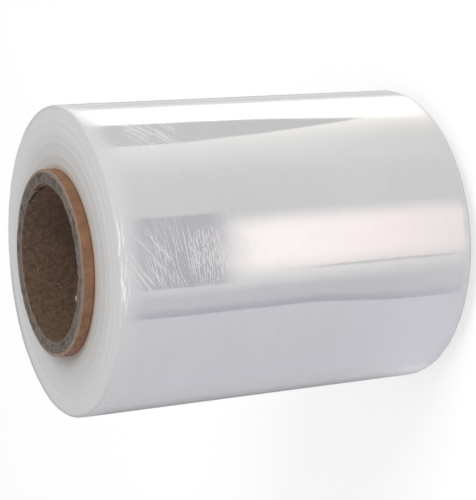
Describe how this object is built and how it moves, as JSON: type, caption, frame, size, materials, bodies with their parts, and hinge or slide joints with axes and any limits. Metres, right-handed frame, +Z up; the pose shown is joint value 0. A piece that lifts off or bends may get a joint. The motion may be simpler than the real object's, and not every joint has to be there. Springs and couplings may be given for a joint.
{
  "type": "roll of stretch wrap film",
  "caption": "Clear plastic wrapping film wound tightly on a spiral-wound paper core that stands a little proud of both ends of the film.",
  "frame": {"origin": "centre of the core's foot end, the face that the roll stands on", "axes": "+Z up the bore, from the foot to the end that the picture shows; +X is the roll's upper side in the picture, and the free end of the film lies about 125 degrees round from +X"},
  "size_m": [0.1018, 0.102, 0.134],
  "materials": {
    "clear_film": "glossy clear film in many tight turns, milky on the cut ends",
    "tan_paper": "smooth tan kraft paper",
    "grey_board": "rough sawn grey board with fibres",
    "brown_paper": "rough dark brown recycled paper with flecks"
  },
  "bodies": {
    "root": {"film_winding": "clear_film", "core_cover_ply": "tan_paper", "core_board": "grey_board", "core_liner_ply": "brown_paper"}
  },
  "joints": []
}
